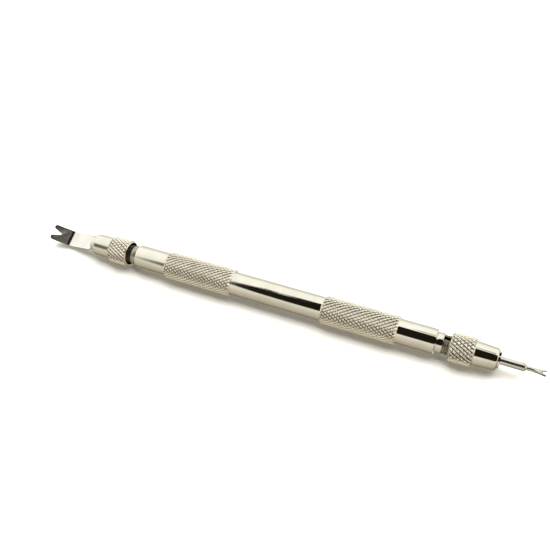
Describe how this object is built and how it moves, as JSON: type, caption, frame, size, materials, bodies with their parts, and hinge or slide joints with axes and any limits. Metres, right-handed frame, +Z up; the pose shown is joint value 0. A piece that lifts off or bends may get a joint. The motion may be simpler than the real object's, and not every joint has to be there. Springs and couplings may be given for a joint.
{
  "type": "spring bar tool",
  "caption": "Double-ended spring bar tool: tubular handle with knurled grips, split collets, knurled clamping nuts, a wide bent fork and a fine forked pin",
  "frame": {"origin": "on the ground plane the grips rest on, under the middle of the tool's overall length", "axes": "+X along the tool's axis from the wide fork towards the fine fork, +Z up from the ground, with the wide fork's flat rolled 10 degrees from level"},
  "size_m": [0.14, 0.0074, 0.0075],
  "materials": {
    "smooth_nickel": "bright nickel plate over turned brass",
    "knurled_nickel": "nickel plate over knurled brass",
    "bush_steel": "turned",
    "blade_steel": "bright plated spring steel",
    "pin_steel": "turned and hardened steel"
  },
  "bodies": {
    "handle": {"handle_tube": "smooth_nickel", "grip_sleeve_fork_end": "knurled_nickel", "grip_sleeve_pin_end": "knurled_nickel", "collet_fork_end": "smooth_nickel", "collet_pin_end": "smooth_nickel"},
    "fork_end_bush": {"closing_bush_fork_end": "bush_steel"},
    "pin_end_bush": {"closing_bush_pin_end": "bush_steel"},
    "fork_end_nut": {"clamping_nut_fork_end": "knurled_nickel"},
    "pin_end_nut": {"clamping_nut_pin_end": "knurled_nickel"},
    "wide_fork": {"fork_blade": "blade_steel"},
    "fine_fork": {"fork_pin": "pin_steel"}
  },
  "joints": [
    {"name": "nut_travel_fork_end", "type": "slide", "parent": "handle", "child": "fork_end_bush", "axis": [-1, 0, 0], "range_m": [0, 0.00125]},
    {"name": "nut_turn_fork_end", "type": "hinge", "parent": "fork_end_bush", "child": "fork_end_nut", "pos_m": [-0.0487, 0, 0.00373], "axis": [-1, 0, 0], "range_deg": [0, 900]},
    {"name": "nut_travel_pin_end", "type": "slide", "parent": "handle", "child": "pin_end_bush", "axis": [1, 0, 0], "range_m": [0, 0.0025]},
    {"name": "nut_turn_pin_end", "type": "hinge", "parent": "pin_end_bush", "child": "pin_end_nut", "pos_m": [0.0531, 0, 0.00373], "axis": [1, 0, 0], "range_deg": [0, 1800]},
    {"name": "blade_draw", "type": "slide", "parent": "handle", "child": "wide_fork", "axis": [-1, 0, 0], "range_m": [0, 0.01]},
    {"name": "pin_draw", "type": "slide", "parent": "handle", "child": "fine_fork", "axis": [1, 0, 0], "range_m": [0, 0.01]}
  ],
  "couplings": [
    {"joint": "nut_turn_fork_end", "follows": "nut_travel_fork_end", "rad_per_m": 12566},
    {"joint": "nut_turn_pin_end", "follows": "nut_travel_pin_end", "rad_per_m": 12566}
  ]
}
